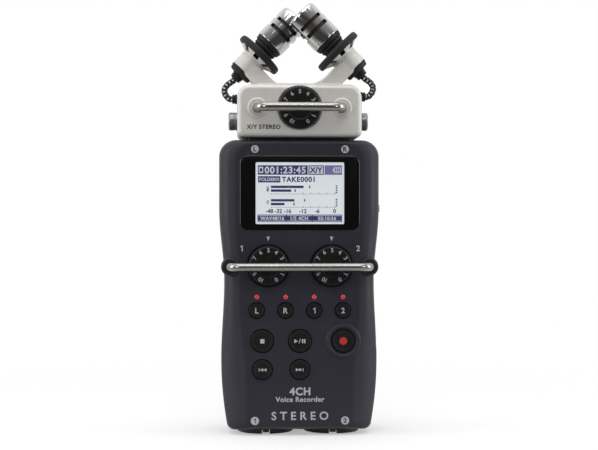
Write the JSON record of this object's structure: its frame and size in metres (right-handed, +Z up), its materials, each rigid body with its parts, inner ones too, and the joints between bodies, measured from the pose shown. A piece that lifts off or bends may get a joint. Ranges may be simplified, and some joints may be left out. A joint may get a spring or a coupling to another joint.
{
  "type": "handheld voice recorder",
  "caption": "Upright handheld recorder with a screen, gain dials behind a guard bar, transport buttons, input jacks at the foot and a plug-on crossed stereo microphone head.",
  "frame": {"origin": "on the floor plane at the foot of the two input jacks, midway between the sides and midway between the front guard bar and the back", "axes": "+Z up towards the microphones, front with the display faces -Y, +X to the right of someone looking at the display"},
  "size_m": [0.0676, 0.0428, 0.1803],
  "materials": {
    "casing_plastic": "satin",
    "window_glass": "gloss",
    "display": "satin",
    "lamp": "gloss",
    "circuit_board": "satin",
    "black_plastic": "satin",
    "control_plastic": "satin",
    "rubber": "matte",
    "chrome": "polished",
    "steel": "satin",
    "brass": "satin",
    "cell_jacket": "satin",
    "card": "satin",
    "capsule_metal": "satin",
    "mesh": "matte",
    "wheel_plastic": "satin"
  },
  "bodies": {
    "recorder": {"front_casing": "casing_plastic", "rear_casing": "casing_plastic", "display_window": "window_glass", "display_panel": "display", "indicator_lenses": "lamp", "main_board": "circuit_board", "switch_bodies": "steel", "gain_pots": "steel", "combo_jack_1": "black_plastic", "combo_jack_2": "black_plastic", "jack_contacts": "brass", "guard_bar": "chrome", "aa_cells": "cell_jacket", "battery_contacts": "steel", "speaker": "black_plastic", "tripod_insert": "brass", "card_socket": "steel", "usb_socket": "steel", "headphone_jack": "black_plastic", "line_jack": "black_plastic", "casing_screws": "steel", "connector_tongue": "black_plastic"},
    "capsule": {"capsule_shell": "capsule_metal", "capsule_sleeve": "black_plastic", "capsule_board": "circuit_board", "capsule_guard_bar": "chrome", "mic_yoke": "capsule_metal", "mic_body_left": "chrome", "mic_body_right": "chrome", "mic_meshes": "mesh", "shock_mount_left": "black_plastic", "shock_mount_right": "black_plastic", "mic_boot_left": "rubber", "mic_boot_right": "rubber", "lead_glands": "rubber", "mic_lead_left": "rubber", "mic_lead_right": "rubber"},
    "gain_knob_1": {"gain_knob_1": "control_plastic"},
    "gain_knob_2": {"gain_knob_2": "control_plastic"},
    "track_button_l": {"track_button_l": "control_plastic"},
    "track_button_r": {"track_button_r": "control_plastic"},
    "track_button_1": {"track_button_1": "control_plastic"},
    "track_button_2": {"track_button_2": "control_plastic"},
    "stop_button": {"stop_button": "control_plastic"},
    "play_button": {"play_button": "control_plastic"},
    "record_button": {"record_button": "control_plastic"},
    "rewind_button": {"rewind_button": "control_plastic"},
    "forward_button": {"forward_button": "control_plastic"},
    "power_switch": {"power_switch": "control_plastic"},
    "menu_button": {"menu_button": "control_plastic"},
    "scroll_wheel": {"scroll_wheel": "control_plastic"},
    "volume_wheel": {"volume_wheel": "wheel_plastic"},
    "jack_latch_1": {"jack_latch_1": "steel"},
    "jack_latch_2": {"jack_latch_2": "steel"},
    "battery_cover": {"battery_cover": "casing_plastic"},
    "card_door": {"card_door": "black_plastic"},
    "memory_card": {"memory_card": "card"},
    "level_dial": {"level_dial": "control_plastic"},
    "release_button_left": {"release_button_left": "chrome"},
    "release_button_right": {"release_button_right": "chrome"}
  },
  "joints": [
    {"name": "gain_knob_1_turn", "type": "hinge", "parent": "recorder", "child": "gain_knob_1", "pos_m": [-0.0131, -0.01295, 0.0702], "axis": [0, 1, 0], "range_deg": [-150, 150]},
    {"name": "gain_knob_2_turn", "type": "hinge", "parent": "recorder", "child": "gain_knob_2", "pos_m": [0.0131, -0.01295, 0.0702], "axis": [0, 1, 0], "range_deg": [-150, 150]},
    {"name": "track_button_l_press", "type": "slide", "parent": "recorder", "child": "track_button_l", "axis": [0, 1, 0], "range_m": [0, 0.0008], "stiffness_N_per_m": 400, "springref_m": -0.0008},
    {"name": "track_button_r_press", "type": "slide", "parent": "recorder", "child": "track_button_r", "axis": [0, 1, 0], "range_m": [0, 0.0008], "stiffness_N_per_m": 400, "springref_m": -0.0008},
    {"name": "track_button_1_press", "type": "slide", "parent": "recorder", "child": "track_button_1", "axis": [0, 1, 0], "range_m": [0, 0.0008], "stiffness_N_per_m": 400, "springref_m": -0.0008},
    {"name": "track_button_2_press", "type": "slide", "parent": "recorder", "child": "track_button_2", "axis": [0, 1, 0], "range_m": [0, 0.0008], "stiffness_N_per_m": 400, "springref_m": -0.0008},
    {"name": "stop_button_press", "type": "slide", "parent": "recorder", "child": "stop_button", "axis": [0, 1, 0], "range_m": [0, 0.0008], "stiffness_N_per_m": 400, "springref_m": -0.0008},
    {"name": "play_button_press", "type": "slide", "parent": "recorder", "child": "play_button", "axis": [0, 1, 0], "range_m": [0, 0.0008], "stiffness_N_per_m": 400, "springref_m": -0.0008},
    {"name": "record_button_press", "type": "slide", "parent": "recorder", "child": "record_button", "axis": [0, 1, 0], "range_m": [0, 0.0008], "stiffness_N_per_m": 400, "springref_m": -0.0008},
    {"name": "rewind_button_press", "type": "slide", "parent": "recorder", "child": "rewind_button", "axis": [0, 1, 0], "range_m": [0, 0.0008], "stiffness_N_per_m": 400, "springref_m": -0.0008},
    {"name": "forward_button_press", "type": "slide", "parent": "recorder", "child": "forward_button", "axis": [0, 1, 0], "range_m": [0, 0.0008], "stiffness_N_per_m": 400, "springref_m": -0.0008},
    {"name": "power_switch_slide", "type": "slide", "parent": "recorder", "child": "power_switch", "axis": [0, 0, 1], "range_m": [-0.0016, 0.0016]},
    {"name": "menu_button_press", "type": "slide", "parent": "recorder", "child": "menu_button", "axis": [1, 0, 0], "range_m": [0, 0.0006], "stiffness_N_per_m": 400, "springref_m": -0.0006},
    {"name": "scroll_wheel_turn", "type": "hinge", "parent": "recorder", "child": "scroll_wheel", "pos_m": [-0.0282, 0.01005, 0.1], "axis": [0, 1, 0], "continuous": true},
    {"name": "volume_wheel_turn", "type": "hinge", "parent": "recorder", "child": "volume_wheel", "pos_m": [-0.0254, 0.01005, 0.058], "axis": [0, 1, 0], "range_deg": [-135, 135]},
    {"name": "jack_latch_1_press", "type": "slide", "parent": "recorder", "child": "jack_latch_1", "axis": [0, 0, 1], "range_m": [0, 0.001], "stiffness_N_per_m": 400, "springref_m": -0.001},
    {"name": "jack_latch_2_press", "type": "slide", "parent": "recorder", "child": "jack_latch_2", "axis": [0, 0, 1], "range_m": [0, 0.001], "stiffness_N_per_m": 400, "springref_m": -0.001},
    {"name": "battery_cover_hinge", "type": "hinge", "parent": "recorder", "child": "battery_cover", "pos_m": [0, 0.0201, 0.02835], "axis": [-1, 0, 0], "range_deg": [0, 80]},
    {"name": "card_door_hinge", "type": "hinge", "parent": "recorder", "child": "card_door", "pos_m": [0.03031, 0.00645, 0.049], "axis": [0, 0, 1], "range_deg": [0, 85]},
    {"name": "memory_card_press", "type": "slide", "parent": "recorder", "child": "memory_card", "axis": [-1, 0, 0], "range_m": [0, 0.0008], "stiffness_N_per_m": 300, "springref_m": -0.0008},
    {"name": "capsule_lift", "type": "slide", "parent": "recorder", "child": "capsule", "axis": [0, 0, 1], "range_m": [0, 0.017]},
    {"name": "level_dial_turn", "type": "hinge", "parent": "capsule", "child": "level_dial", "pos_m": [0, -0.01145, 0.1357], "axis": [0, 1, 0], "range_deg": [-150, 150]},
    {"name": "release_button_left_press", "type": "slide", "parent": "capsule", "child": "release_button_left", "axis": [1, 0, 0], "range_m": [0, 0.0014], "stiffness_N_per_m": 500, "springref_m": -0.0014},
    {"name": "release_button_right_press", "type": "slide", "parent": "capsule", "child": "release_button_right", "axis": [-1, 0, 0], "range_m": [0, 0.0014], "stiffness_N_per_m": 500, "springref_m": -0.0014}
  ]
}
